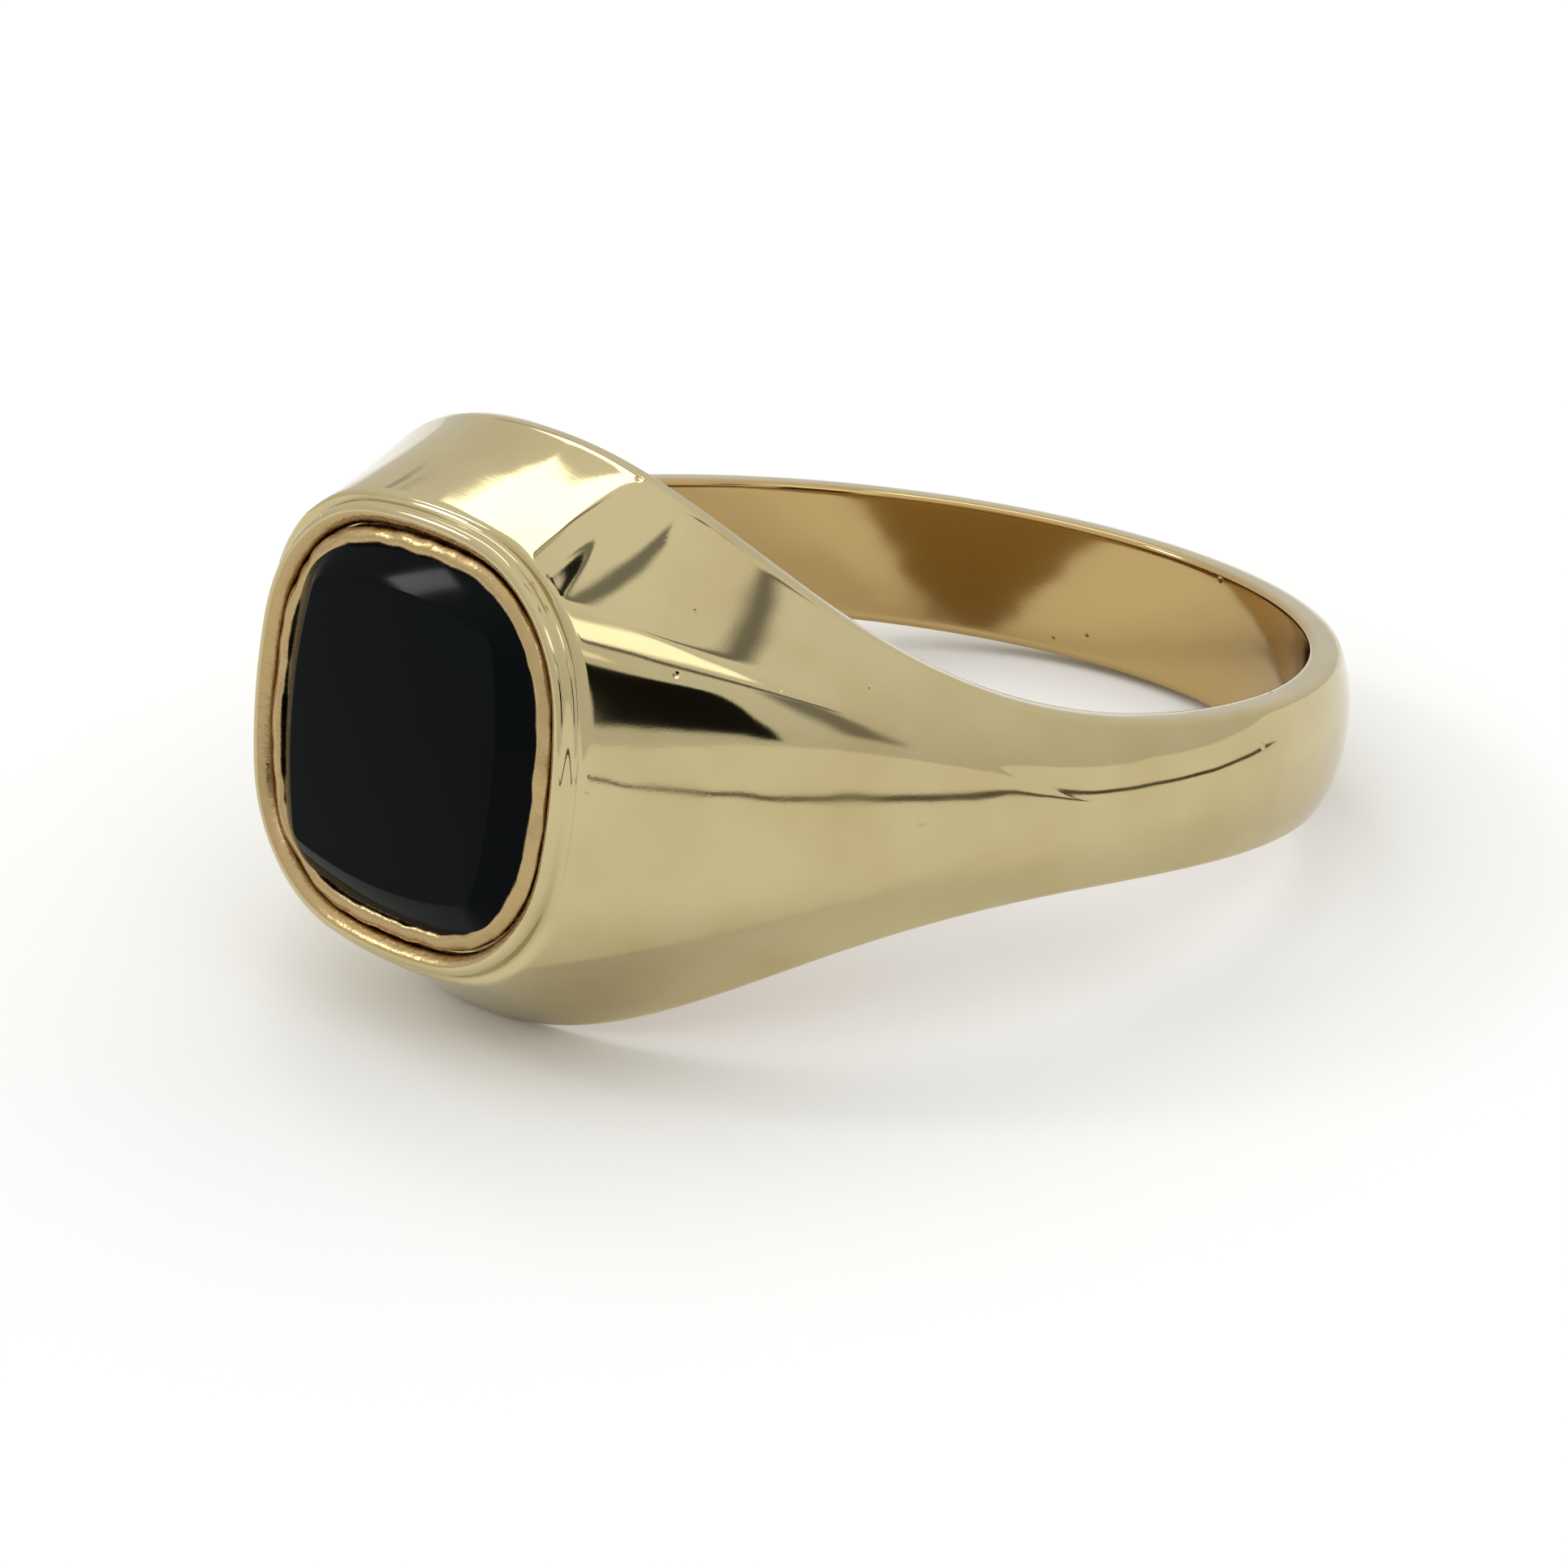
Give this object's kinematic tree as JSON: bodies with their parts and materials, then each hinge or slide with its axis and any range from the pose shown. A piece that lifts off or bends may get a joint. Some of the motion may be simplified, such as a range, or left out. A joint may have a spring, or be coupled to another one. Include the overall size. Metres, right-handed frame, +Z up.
{
  "type": "signet ring",
  "caption": "Finger ring with a cushion-shaped framed face, a bevelled black stone tablet held by a rubbed-over collet, ridged shoulders and a narrow rounded band.",
  "frame": {"origin": "on the surface the ring lies on, under the middle of its bounding box", "axes": "+Z up as the ring lies on its side; the face looks to -Y and is turned up by the resting tilt of about 13 degrees; +X is the ring's right hand side seen from the face"},
  "size_m": [0.021, 0.0236, 0.0117],
  "materials": {
    "gold": "polished 9 carat yellow gold",
    "collet_gold": "9 carat yellow gold, pushed over by hand",
    "onyx": "polished black onyx",
    "cement": "matt jeweller's cement"
  },
  "bodies": {
    "root": {"signet_head": "gold", "shank": "gold", "face_frame": "gold", "collet": "collet_gold", "onyx_tablet": "onyx", "cement_bed": "cement"}
  },
  "joints": []
}
